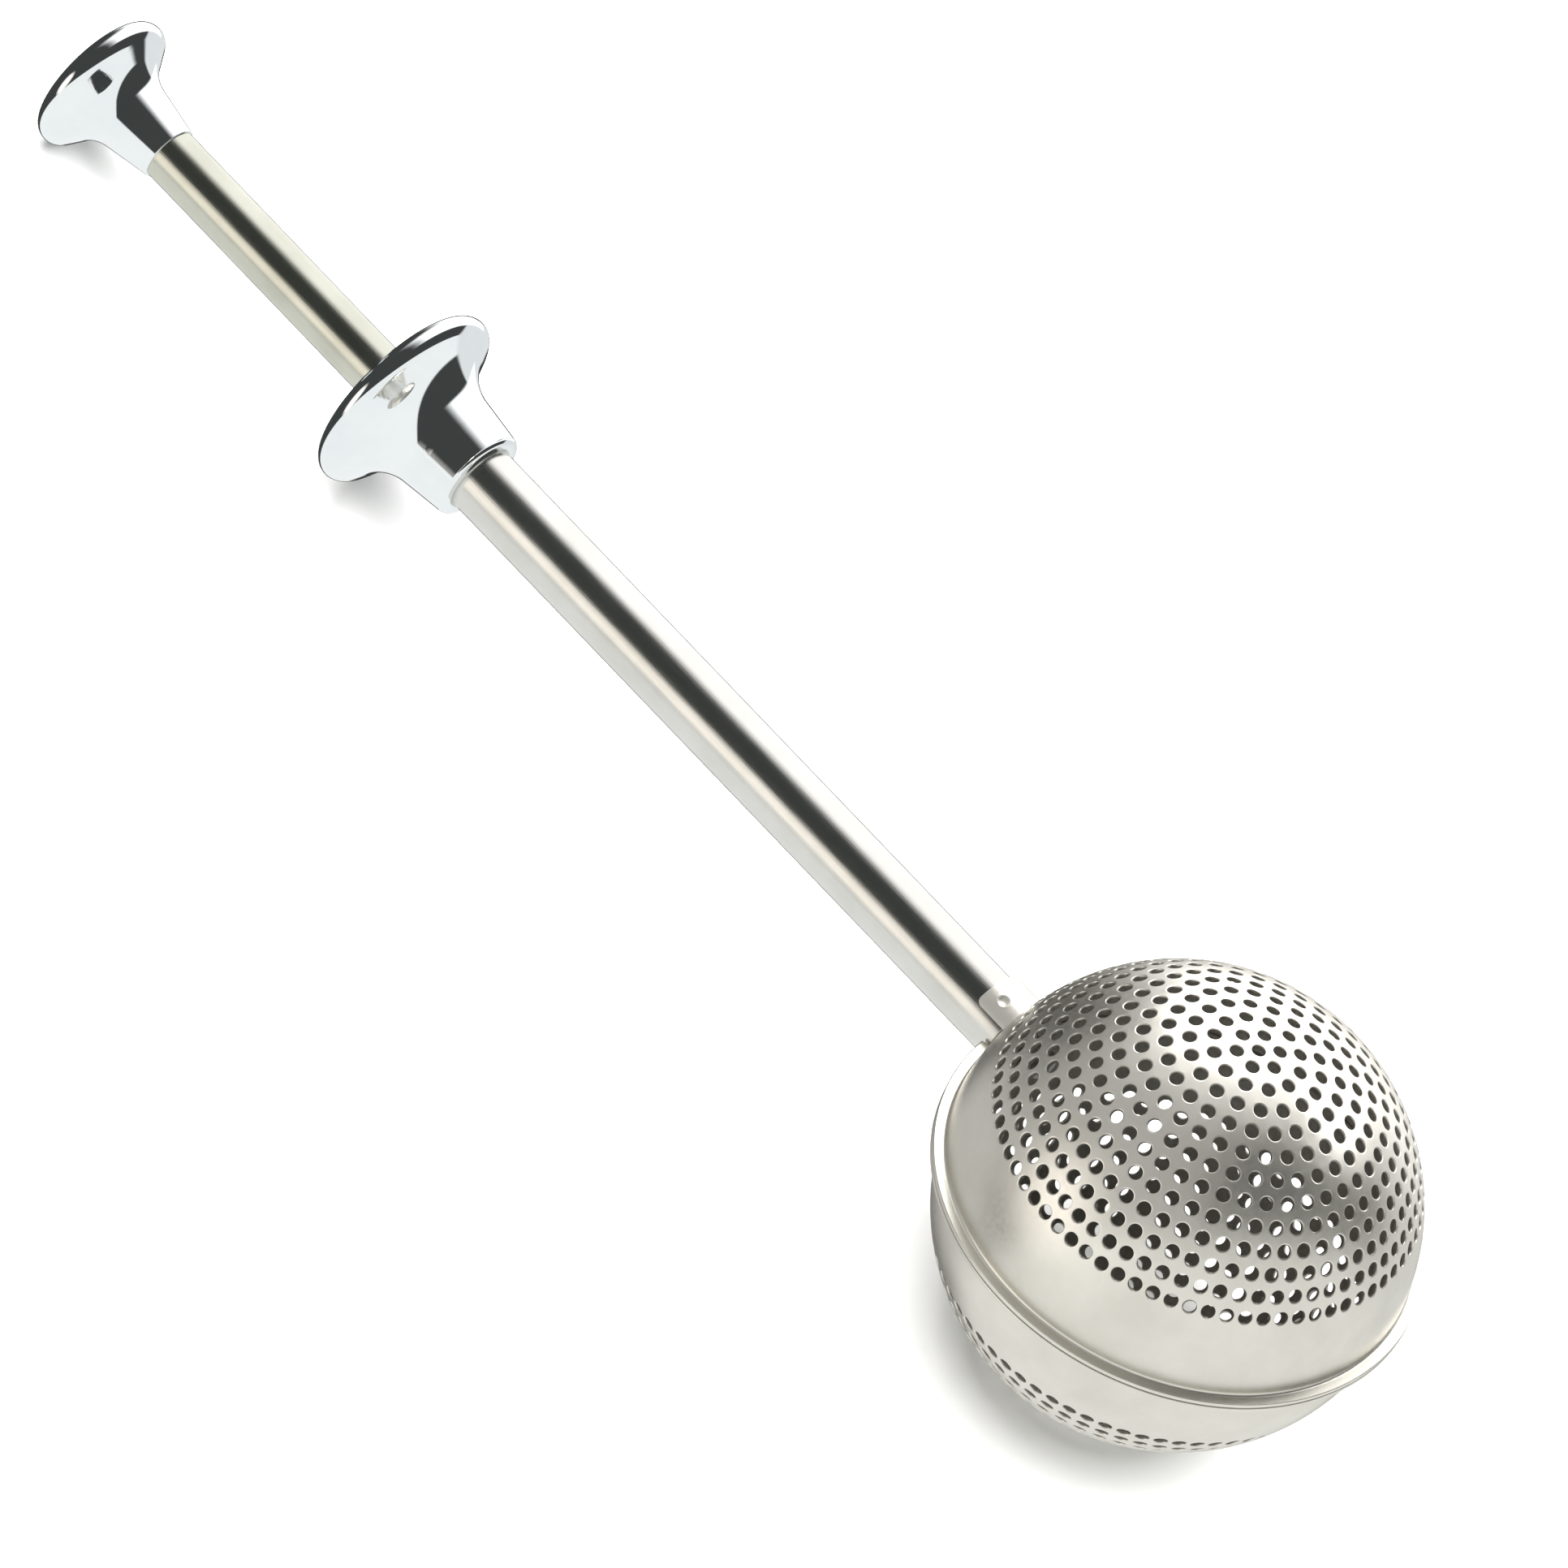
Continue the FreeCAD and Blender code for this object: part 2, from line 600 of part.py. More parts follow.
def make_hole_tool():
    """Every strainer hole as a pin through the dome, square to its surface."""
    holes = document.addObject("Part::Feature", "strainer_pins")
    outside = number("sizes.ball_radius")
    wall = number("sizes.sheet_wall")
    radius = number("sizes.hole_radius")
    step = math.radians(number("sizes.hole_ring_step"))
    pins = []
    for ring in range(int(number("sizes.hole_rings")) + 1):
        count = max(1, ring * int(number("sizes.holes_per_step")))
        for place in range(count):
            turn = 2 * math.pi * place / count
            across = math.sin(ring * step)
            way = Vector(across * math.cos(turn), across * math.sin(turn), math.cos(ring * step))
            pins.append(Part.makeCylinder(radius, 3 * wall, way * (outside - 2 * wall), way))
    holes.Shape = Part.makeCompound(pins)
    return holes


def make_strainer():
    """Dome with its holes, from which both hemispheres are finished."""
    strainer = document.addObject("Part::Cut", "pierced_dome")
    strainer.Base = make_dome("plain_dome")
    strainer.Tool = make_hole_tool()
    strainer.Refine = False
    document.recompute()
    return strainer


# ---- the whole tea ball ----


def resting_tilt():
    """Angle of the tube when the ball and the knob's rim both lie on a table."""
    place, rim = number("sizes.knob_place"), number("sizes.knob_rim_place")
    drop = number("sizes.ball_radius - sizes.knob_rim_round")
    return math.degrees(math.asin(drop / math.hypot(place, rim)) - math.atan2(rim, place))


def put(piece, along, flip=False):
    """Place a piece along the tube, with the whole assembly tilted onto the table."""
    turn = Rotation(Vector(1, 0, 0), 180 if flip else 0)
    tilt = Rotation(Vector(0, 1, 0), -resting_tilt())
    lift = Vector(0, 0, number("sizes.ball_radius"))
    along_tube = Placement(Vector(along, 0, 0), turn)
    piece.Placement = Placement(lift, tilt).multiply(along_tube)


def centre_on_origin(pieces, outermost):
    """Slide everything along X until the outermost pieces' box is centred on the origin."""
    boxes = [piece.Shape.optimalBoundingBox(False, False) for piece in outermost]
    middle = (min(box.XMin for box in boxes) + max(box.XMax for box in boxes)) / 2
    for piece in pieces:
        piece.Placement = Placement(Vector(-middle, 0, 0), Rotation()).multiply(piece.Placement)
    return middle


def check(pieces):
    for item in document.Objects:
        if "Invalid" in item.State or "Error" in item.State:
            raise SystemExit(f"{item.Label} didn't recompute: {item.State}")
    for piece in pieces:
        if piece.Shape.isNull() or not piece.Shape.isValid():
            raise SystemExit(f"{piece.Label} has no valid shape")


def main():
    pieces = []
    for make in (
        make_knob,
        make_plunger_tube,
        make_plug,
        make_rod,
        make_upper_washer,
        make_spring,
        make_lower_washer,
        make_guide_bush,
        make_outer_tube,
        make_collar,
    ):
        piece, place = make()
        put(piece, number(place))
        pieces.append(piece)
    strainer = make_strainer()
    front = make_front_shell(strainer)
    back = make_back_shell(strainer)
    put(front, 0)
    put(back, 0, flip=True)
    pieces += [front, back]
    document.recompute()
    middle = centre_on_origin(pieces, [pieces[0], front])
    document.recompute()
    check(pieces)
    os.makedirs("parts", exist_ok=True)
    for piece in pieces:
        piece.Shape.exportStep(f"parts/{piece.Label}.step")
        print(piece.Label, round(piece.Shape.Volume, 2), len(piece.Shape.Solids))
    print("tilt", resting_tilt(), "ball centre x", -middle)


main()
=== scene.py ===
import json
import math

import bmesh
import bpy
from mathutils import Matrix, Vector
from mathutils.geometry import delaunay_2d_cdt


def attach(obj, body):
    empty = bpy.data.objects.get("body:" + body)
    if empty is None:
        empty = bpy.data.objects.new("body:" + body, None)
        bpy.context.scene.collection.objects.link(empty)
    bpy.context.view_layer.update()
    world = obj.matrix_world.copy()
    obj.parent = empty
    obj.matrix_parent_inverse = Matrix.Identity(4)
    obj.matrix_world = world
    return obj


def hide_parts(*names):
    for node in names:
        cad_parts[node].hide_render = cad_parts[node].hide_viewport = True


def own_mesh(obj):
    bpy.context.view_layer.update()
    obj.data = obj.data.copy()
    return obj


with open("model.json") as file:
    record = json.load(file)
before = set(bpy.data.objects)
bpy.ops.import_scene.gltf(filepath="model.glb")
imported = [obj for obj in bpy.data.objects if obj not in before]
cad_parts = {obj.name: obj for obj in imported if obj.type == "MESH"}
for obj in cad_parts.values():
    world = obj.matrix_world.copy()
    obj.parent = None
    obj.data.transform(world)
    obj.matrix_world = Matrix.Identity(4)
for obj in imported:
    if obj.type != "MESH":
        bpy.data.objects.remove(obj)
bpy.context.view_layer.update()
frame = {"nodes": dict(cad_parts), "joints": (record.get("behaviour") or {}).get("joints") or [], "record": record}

MM = 0.001
WELD = 1e-7

# ---- sizes in millimetres and angles in degrees, the same as the CAD's ----
BALL = 23.2
WALL = 0.5
FLANGE = 24.4
RIM_GAP = 0.05
BEND = 0.35
HOLE = 0.68
HOLE_STEP = math.radians(5.5)
RINGS = 12
HOLES_PER_STEP = 6
TUBE = 3.5
TUBE_BORE = 2.85
TUBE_FOOT = 23.35
FLANGE_NOTCH = 3.9
ROD = 1.5
ROD_CLEARANCE = 0.3
SADDLE_LENGTH = 3.6
SADDLE_HALF_ANGLE = 48
SADDLE_CORNER = 0.7
SADDLE_BEND = 0.5
DIMPLE = 0.55
DIMPLE_DEPTH = 0.14
DIMPLE_ANGLE = 20
TROUGH_ROOT = 22.95
TROUGH_END = 19.4
TROUGH_HALF_ANGLE = 78
PLUNGER_FOOT = 76.0
PLUG_HEAD = 1.2
WASHER = 0.4
BUSH_LENGTH = 5.65
SPRING = 2.25
SPRING_WIRE = 0.25
SPRING_PITCH = 2.4
SPRING_PLAY = 0.05
COLLAR_PLACE = 110.5
COLLAR_SHAPE = dict(rim_place=9.0, rim=1.3, cone=62, flare=5.2, taper=6.8, neck=4.85, length=11.0)
KNOB_PLACE = 154.0
KNOB_SHAPE = dict(rim_place=6.15, rim=1.4, cone=54, flare=3.8, taper=9.7, neck=2.95, length=9.8)
KNOB_BORE_DEPTH = 7.0
TUBE_RECESS = 0.3
PLUNGER = 2.775
PLUNGER_BORE = 2.275

# ---- roundings in millimetres that only the visible pieces have ----
HOLE_ROUND = 0.12
HOLE_BACK = 0.07
HOLE_HOLD = 0.04
MOUTH_ROUND = 0.22
FLANGE_ROUND = 0.15
TUBE_ROUND = 0.12
KNOB_NECK_ROUND = 0.1
COLLAR_NECK_ROUND = 0.45
COLLAR_BORE_ROUND = 0.25
SADDLE_ROUND = 0.09
TROUGH_ROUND = 0.07

# ---- how finely round things are divided ----
TURNED_STEPS = 192
TUBE_STEPS = 128
TUBE_STATION = 4
RIM_STEPS = 28
HOLE_SIDES = 20
DOME_STEPS = 240
BAND_STEPS = 10
STRIP_STEPS = 96
COIL_STEPS = 40
WIRE_SIDES = 12

# ---- the tube's own frame: X from knob to ball, Z towards the fixed hemisphere's pole ----
JOINT = frame["joints"][0]
THUMB = next(m for m in frame["record"]["mounts"] if m["name"] == "thumb_face")
ALONG = Vector(JOINT["axis"]).normalized()
ACROSS = Vector((0, 1, 0))
POLE = ALONG.cross(ACROSS).normalized()
CENTRE = Vector(THUMB["pos_m"]) + ALONG * ((KNOB_PLACE + KNOB_SHAPE["rim"]) * MM)
TUBE_FRAME = Matrix.Translation(CENTRE) @ Matrix((ALONG, ACROSS, POLE)).transposed().to_4x4()


# ---- mesh helpers; all of them work in millimetres in the tube's frame ----


def mesh_object(name, points, faces, body, material, replaced=None, flip=False):
    """Make an object of points in the tube's frame, and ride it on a CAD body."""
    mesh = bpy.data.meshes.new(name)
    turn = Matrix.Rotation(math.pi, 4, "X") if flip else Matrix.Identity(4)
    place = TUBE_FRAME @ Matrix.Scale(MM, 4) @ turn
    mesh.from_pydata([place @ Vector(p) for p in points], [], faces)
    mesh.validate()
    mesh.update()
    piece = bpy.data.objects.new(name, mesh)
    bpy.context.scene.collection.objects.link(piece)
    tidy_normals(piece)
    mesh.materials.append(material)
    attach(piece, body)
    if replaced:
        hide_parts(replaced)
    return piece


def tidy_normals(piece, sharp=35):
    """Weld doubles, turn every face outwards and shade smooth up to an angle."""
    shape = bmesh.new()
    shape.from_mesh(piece.data)
    bmesh.ops.remove_doubles(shape, verts=shape.verts, dist=WELD)
    bmesh.ops.recalc_face_normals(shape, faces=shape.faces)
    shape.to_mesh(piece.data)
    shape.free()
    for face in piece.data.polygons:
        face.use_smooth = True
    piece.data.set_sharp_from_angle(angle=math.radians(sharp))


def turned(profile, steps=TURNED_STEPS):
    """Points and faces of a closed profile of (x, radius) turned about the tube's axis."""
    points, faces = [], []
    for x, radius in profile:
        for k in range(steps):
            turn = 2 * math.pi * k / steps
            points.append((x, radius * math.sin(turn), radius * math.cos(turn)))
    rows = len(profile)
    for i in range(rows):
        j = (i + 1) % rows
        for k in range(steps):
            n = (k + 1) % steps
            faces.append((i * steps + k, i * steps + n, j * steps + n, j * steps + k))
    return points, faces


def arc(centre, radius, start, finish, steps):
    """Points on an arc from angle start to finish in degrees."""
    turns = [math.radians(start + (finish - start) * i / steps) for i in range(steps + 1)]
    return [(centre[0] + radius * math.cos(t), centre[1] + radius * math.sin(t)) for t in turns]


def rounded(profile, corner_radius, steps=4):
    """Round every sharp corner of a closed profile by the same small radius."""
    nearly_straight = math.radians(150)
    result = []
    count = len(profile)
    for i, point in enumerate(profile):
        here = Vector(point)
        back, ahead = Vector(profile[i - 1]) - here, Vector(profile[(i + 1) % count]) - here
        angle = back.angle(ahead) if back.length and ahead.length else math.pi
        if angle > nearly_straight:
            result.append(tuple(here))
            continue
        reach = corner_radius / math.tan(angle / 2)
        reach = min(reach, back.length / 2.2, ahead.length / 2.2)
        a, b = here + back.normalized() * reach, here + ahead.normalized() * reach
        for s in range(steps + 1):
            t = s / steps
            result.append(tuple(a * (1 - t) ** 2 + here * 2 * t * (1 - t) + b * t**2))
    return result


# ---- trumpet pieces ----


def trumpet_outside(rim_place, rim, cone, flare, taper, neck, length, neck_round):
    """Outside of a trumpet from the top of its rim to its neck's end, as (x, radius)."""
    slope, narrowing = math.radians(cone), math.radians(taper)
    down_cone = Vector((math.cos(slope), -math.sin(slope)))
    down_neck = Vector((math.cos(narrowing), -math.sin(narrowing)))
    start = Vector((rim * math.sin(slope), rim_place + rim * math.cos(slope)))
    gap = Vector((length, neck)) - start
    turn = down_cone.x * down_neck.y - down_cone.y * down_neck.x
    corner = start + down_cone * ((gap.x * down_neck.y - gap.y * down_neck.x) / turn)
    reach = flare * math.tan((slope - narrowing) / 2)
    flare_end = corner + down_neck * reach
    centre = flare_end + Vector((math.sin(narrowing), math.cos(narrowing))) * flare
    profile = arc((0, rim_place), rim, 180, 90 - cone, RIM_STEPS)
    profile += arc(centre, flare, 270 - cone, 270 - taper, RIM_STEPS)
    end_slope = Vector((length, neck)) - flare_end
    for share in (0.25, 0.5, 0.75):
        profile.append(tuple(flare_end + end_slope * share))
    edge = Vector((length, neck)) - down_neck * neck_round
    profile.append(tuple(edge))
    profile += arc((length - neck_round, neck - neck_round * 1.02), neck_round, 84, 0, 6)
    return profile


def make_knob(material):
    """Knob: a blind trumpet with a flat top; the top's inner points keep its faces short."""
    profile = trumpet_outside(**KNOB_SHAPE, neck_round=KNOB_NECK_ROUND)
    length, rim = KNOB_SHAPE["length"], KNOB_SHAPE["rim"]
    floor = length - KNOB_BORE_DEPTH
    inside = [(length, PLUNGER), (floor, PLUNGER), (floor, 0.0)]
    top = [(-rim, 0.0), (-rim, 2.0), (-rim, 4.2)]
    outline = [(x - KNOB_PLACE, radius) for x, radius in top + profile + inside]
    points, faces = turned(outline)
    return mesh_object("knob_skin", points, faces, "plunger", material, "knob")


def make_collar(material):
    """Finger collar: an open trumpet, a little wider where the tube leaves its neck."""
    profile = trumpet_outside(**COLLAR_SHAPE, neck_round=COLLAR_NECK_ROUND)
    length, rim = COLLAR_SHAPE["length"], COLLAR_SHAPE["rim"]
    top = [(-rim, TUBE + 0.15), (-rim, 5.5), (-rim, 7.5)]
    inside = [
        (length, TUBE + COLLAR_BORE_ROUND),
        (length - COLLAR_BORE_ROUND, TUBE),
        (-rim + 0.15, TUBE),
    ]
    outline = [(x - COLLAR_PLACE, radius) for x, radius in top + profile + inside]
    points, faces = turned(outline)
    return mesh_object("thumb_collar_skin", points, faces, "handle", material, "thumb_collar")


def make_tube(name, node, body, material, start, end, outer, inner):
    """Tube from start to end along its axis, with softened ends."""
    outline = [(start, inner), (start, outer), (end, outer), (end, inner)]
    outline = rounded(outline, TUBE_ROUND)
    stations = []
    for point, following in zip(outline, outline[1:] + outline[:1]):
        stations.append(point)
        span = abs(following[0] - point[0])
        for cut in range(1, int(span // TUBE_STATION)):
            share = cut / (span // TUBE_STATION)
            between = [point[i] + (following[i] - point[i]) * share for i in (0, 1)]
            stations.append(tuple(between))
    points, faces = turned(stations, TUBE_STEPS)
    return mesh_object(name, points, faces, body, material, node)


# ---- pierced hemispheres ----

CAP_EDGE = math.radians(69.6)
TUBE_SIDE = math.pi


def turns_round_pole():
    """Angles round the pole, finer beside the tube, where the rim is cut away."""
    fine, fine_steps = math.radians(12), 80
    angles = [2 * math.pi * k / DOME_STEPS for k in range(DOME_STEPS)]
    angles = [a for a in angles if abs(a - TUBE_SIDE) > fine]
    angles += [TUBE_SIDE - fine + 2 * fine * k / fine_steps for k in range(fine_steps + 1)]
    return sorted(angles)


def on_sphere(radius, polar, turn):
    across = math.sin(polar) * radius
    return Vector((across * math.cos(turn), across * math.sin(turn), math.cos(polar) * radius))


def hole_directions():
    """Middle of every hole: one at the pole, and rings of six more holes each round it."""
    for ring in range(RINGS + 1):
        count = max(1, ring * HOLES_PER_STEP)
        for k in range(count):
            yield on_sphere(1, ring * HOLE_STEP, 2 * math.pi * k / count)


def hole_loops():
    """Loops of one hole as (distance from its axis, depth, sheet side), from outside in."""
    wide = HOLE + HOLE_ROUND
    loops = [(wide + HOLE_HOLD, 0, BALL), (wide, 0, BALL)]
    for angle in (45, 90):
        a = math.radians(angle)
        loops.append((HOLE + HOLE_ROUND * (1 - math.sin(a)), HOLE_ROUND * (1 - math.cos(a)), BALL))
    loops.append((HOLE, WALL - HOLE_BACK, BALL))
    loops.append((HOLE + HOLE_BACK, 0, BALL - WALL))
    loops.append((wide, 0, BALL - WALL))
    return loops


def flat(point):
    """Where a point of the dome comes on a flat map centred on the pole."""
    polar = math.acos(max(-1, min(1, point.normalized().z)))
    away = math.hypot(point.x, point.y)
    if away < 1e-9:
        return Vector((0, 0))
    return Vector((point.x, point.y)) * (polar / away)


def sheet_triangles(boundary, rings):
    """Triangles of the sheet between its boundary and the holes' outer loops."""
    points = [flat(p) for p in boundary] + [flat(p) for ring in rings for p in ring]
    owner = [-1] * len(boundary) + [k for k, ring in enumerate(rings) for _ in ring]
    edges = [(i, (i + 1) % len(boundary)) for i in range(len(boundary))]
    first = len(boundary)
    for ring in rings:
        size = len(ring)
        edges += [(first + i, first + (i + 1) % size) for i in range(size)]
        first += size
    result = delaunay_2d_cdt(points, edges, [], 1, 1e-9, True)
    source = [min(ids) for ids in result[3]]
    triangles = [tuple(source[i] for i in face) for face in result[2]]
    return [t for t in triangles if owner[t[0]] < 0 or len({owner[i] for i in t}) > 1]


def add_pierced_cap(points, faces, turns):
    """Pierced part of the dome, both sides and every hole's wall."""
    boundary = [on_sphere(BALL, CAP_EDGE, turn) for turn in turns]
    inner_boundary = [on_sphere(BALL - WALL, CAP_EDGE, turn) for turn in turns]
    directions = list(hole_directions())
    loops = hole_loops()
    layers = [[] for _ in loops]
    for way in directions:
        side = way.cross(Vector((0.3, 1, 0.1))).normalized()
        other = way.cross(side)
        for layer, (away, depth, radius) in zip(layers, loops):
            height = math.sqrt(radius**2 - away**2) - depth
            ring = []
            for k in range(HOLE_SIDES):
                turn = 2 * math.pi * k / HOLE_SIDES
                ring.append(way * height + (side * math.cos(turn) + other * math.sin(turn)) * away)
            layer.append(ring)
    triangles = sheet_triangles(boundary, layers[0])

    def add_sheet(edge, rings):
        start = len(points)
        points.extend(edge)
        for ring in rings:
            points.extend(ring)
        return start

    starts = [add_sheet(boundary, layers[0])]
    for layer in layers[1:-1]:
        starts.append(add_sheet([], layer))
    starts.append(add_sheet(inner_boundary, layers[-1]))
    faces.extend(tuple(starts[0] + i for i in t) for t in triangles)
    faces.extend(tuple(starts[-1] + i for i in reversed(t)) for t in triangles)
    offset = [start + (len(turns) if i in (0, len(starts) - 1) else 0)
              for i, start in enumerate(starts)]
    for upper, lower in zip(offset, offset[1:]):
        for hole in range(len(directions)):
            base = hole * HOLE_SIDES
            for k in range(HOLE_SIDES):
                n = (k + 1) % HOLE_SIDES
                faces.append((upper + base + k, upper + base + n,
                              lower + base + n, lower + base + k))


def rim_height(turn, notch):
    """Height of the mouth above the parting plane, higher where the rod passes."""
    aside = abs(math.sin(turn) * BALL)
    if math.cos(turn) > 0 or aside >= notch:
        return RIM_GAP
    return max(RIM_GAP, math.sqrt(notch**2 - aside**2))


def add_band(points, faces, turns, notch):
    """Smooth band from the pierced cap down to the mouth, with a rounded inner lip."""
    lip = MOUTH_ROUND
    inner = BALL - WALL
    steps = BAND_STEPS
    start = len(points)
    rows = 0
    for turn in turns:
        low = rim_height(turn, notch)
        outer_end = math.acos(low / BALL)
        inner_end = math.acos((low + lip) / inner)
        column = []
        for i in range(steps + 1):
            column.append(on_sphere(BALL, CAP_EDGE + (outer_end - CAP_EDGE) * i / steps, turn))
        out = Vector((math.cos(turn), math.sin(turn), 0))
        up = Vector((0, 0, 1))
        mouth = math.sqrt(inner**2 - (low + lip) ** 2)
        for i in range(5):
            a = math.radians(90 * i / 4)
            away = mouth + lip * (1 - math.sin(a))
            height = low + lip * (1 - math.cos(a))
            column.append(out * away + up * height)
        for i in range(1, steps + 1):
            column.append(on_sphere(inner, inner_end + (CAP_EDGE - inner_end) * i / steps, turn))
        rows = len(column)
        points.extend(column)
    count = len(turns)
    for k in range(count):
        n = (k + 1) % count
        for i in range(rows - 1):
            faces.append((start + k * rows + i, start + k * rows + i + 1,
                          start + n * rows + i + 1, start + n * rows + i))


def flange_section():
    """Closed section of the flange and its bend, as (distance from the pole's axis, z)."""
    under, over = RIM_GAP, RIM_GAP + WALL
    edge = FLANGE_ROUND
    section = [(BALL - WALL / 2, under + 0.06), (BALL - 0.01, under)]
    section += arc((FLANGE - edge, under + edge), edge, -90, 0, 5)
    section += arc((FLANGE - edge, over - edge), edge, 0, 90, 5)
    reach = BALL + BEND
    height = over + BEND
    centre = (math.sqrt(reach**2 - height**2), height)
    toward = math.degrees(math.atan2(-centre[1], -centre[0])) % 360
    section += arc(centre, BEND, 270, toward, 8)
    section.append((BALL - WALL / 2, over + BEND))
    return section


def add_flange(points, faces, turns):
    """Flange swept round the mouth, with a gap at the tube."""
    gap = math.asin(FLANGE_NOTCH / FLANGE)
    swept = [t for t in turns if abs(t - TUBE_SIDE) > gap]
    before = [t for t in swept if t < TUBE_SIDE]
    after = [t for t in swept if t > TUBE_SIDE]
    path = [TUBE_SIDE + gap] + after + [t + 2 * math.pi for t in before] + [3 * math.pi - gap]
    section = flange_section()
    start, size = len(points), len(section)
    for turn in path:
        for away, z in section:
            points.append(Vector((away * math.cos(turn), away * math.sin(turn), z)))
    for k in range(len(path) - 1):
        for i in range(size):
            j = (i + 1) % size
            a, b = start + k * size, start + (k + 1) * size
            faces.append((a + i, a + j, b + j, b + i))
    faces.append(tuple(start + i for i in range(size)))
    last = start + (len(path) - 1) * size
    faces.append(tuple(last + i for i in reversed(range(size))))


def add_strip(points, faces, stations, free_end, inner, half_angle, corner=0.0, press=None):
    """Strip round the tube's axis; stations are (x, outside radius) from its free end on.

    The free end's two corners are rounded, and press(x, around) gives how far the outside
    is pressed in at a place.
    """
    half = math.radians(half_angle)
    outer = stations[0][1]
    columns = STRIP_STEPS
    rows = len(stations)
    start = len(points)
    toward = 1 if stations[-1][0] > free_end else -1
    for k in range(columns + 1):
        turn = -half * math.cos(math.pi * k / columns)
        past = abs(turn) * outer - (half * outer - corner)
        cut = corner - math.sqrt(max(0.0, corner**2 - past**2)) if past > 0 else 0.0
        way = Vector((0, math.sin(turn), math.cos(turn)))
        column = []
        for x, radius in stations:
            share = max(0.0, 1 - abs(x - free_end) / (2 * corner)) if corner else 0.0
            place = x + toward * cut * share
            pressed = press(place, turn * outer) if press else 0.0
            column.append((place, radius - pressed))
        points.extend(Vector((x, 0, 0)) + way * radius for x, radius in column)
        points.extend(Vector((x, 0, 0)) + way * inner for x, _ in column)
    for k in range(columns):
        a, b = start + 2 * rows * k, start + 2 * rows * (k + 1)
        for i in range(rows - 1):
            faces.append((a + i, a + i + 1, b + i + 1, b + i))
            faces.append((a + rows + i, b + rows + i, b + rows + i + 1, a + rows + i + 1))
        for i in (0, rows - 1):
            faces.append((a + i, b + i, b + rows + i, a + rows + i))
    for a in (start, start + 2 * rows * columns):
        for i in range(rows - 1):
            faces.append((a + i, a + i + 1, a + rows + i + 1, a + rows + i))


def saddle_stations():
    """Outside of the saddle tab from its free end to the dome, with its bend."""
    outer = TUBE + WALL
    free_end = -(TUBE_FOOT + SADDLE_LENGTH)
    reach, height = BALL + SADDLE_BEND, outer + SADDLE_BEND
    bend_start = -math.sqrt(reach**2 - height**2)
    steps = 30
    stations = [(free_end + (bend_start - free_end) * i / steps, outer) for i in range(steps + 1)]
    touch = math.degrees(math.atan2(-height, -bend_start))
    stations += arc((bend_start, height), SADDLE_BEND, -90, touch, 8)[1:]
    x, radius = stations[-1]
    stations.append((x + 0.3, radius - 0.05))
    return stations


def pressed_dimples(x, around):
    """Depth of the two spot-weld dimples, with the low lip that pressing raises round them."""
    depth = 0.0
    for side in (-1, 1):
        middle = side * math.radians(DIMPLE_ANGLE) * (TUBE + WALL)
        away = math.hypot(x + TUBE_FOOT + SADDLE_LENGTH / 2, around - middle) / DIMPLE
        if away < 1:
            depth += DIMPLE_DEPTH * math.cos(away * math.pi / 2)
        elif away < 1.5:
            depth -= DIMPLE_DEPTH * 0.2 * math.sin((away - 1) * 2 * math.pi)
    return depth


def bevelled(piece, width, segments=2):
    """Soften a piece's sharp edges by a small bevel."""
    bevel = piece.modifiers.new("edges", "BEVEL")
    bevel.width = width * MM
    bevel.segments = segments
    bevel.limit_method = "ANGLE"
    bevel.angle_limit = math.radians(50)
    bevel.harden_normals = True


def make_hemisphere(name, body, material, notch, flip):
    """Pierced hemisphere with its flange; notch is the half width cut out for the rod."""
    points, faces = [], []
    turns = turns_round_pole()
    add_pierced_cap(points, faces, turns)
    add_band(points, faces, turns, notch)
    add_flange(points, faces, turns)
    piece = mesh_object(f"{name}_skin", points, faces, body, material, name, flip)
    flat_faces = piece.modifiers.new("flat_faces", "WEIGHTED_NORMAL")
    flat_faces.keep_sharp = True
    flat_faces.weight = 80
    return piece


def paint_shade_inside(shell, material):
    """Give the inner side of a hemisphere its own rougher steel, with painted shade: a colour about half as bright
    as the outside's.
    """
    shell.data.materials.append(material)
    middle = TUBE_FRAME.translation
    for face in shell.data.polygons:
        outward = face.center - middle
        if outward.length < (BALL - WALL / 2) * MM and face.normal.dot(outward) < 0:
            face.material_index = 1


def make_saddle(material):
    """Tab of the fixed hemisphere that is welded round the tube's foot."""
    points, faces = [], []
    stations = saddle_stations()
    add_strip(points, faces, stations, stations[0][0], TUBE, SADDLE_HALF_ANGLE,
              SADDLE_CORNER, pressed_dimples)
    piece = mesh_object("front_shell_saddle", points, faces, "handle", material)
    bevelled(piece, SADDLE_ROUND)
    return piece


def make_trough(material):
    """Half sleeve of the moving hemisphere that is welded round the rod."""
    points, faces = [], []
    outer = ROD + WALL
    places = (TROUGH_END, (TROUGH_END + TROUGH_ROOT) / 2, TROUGH_ROOT)
    stations = [(-place, outer) for place in places]
    add_strip(points, faces, stations, -TROUGH_END, ROD, TROUGH_HALF_ANGLE)
    piece = mesh_object("back_shell_trough", points, faces, "plunger", material, flip=True)
    bevelled(piece, TROUGH_ROUND)
    return piece


# ---- return spring ----


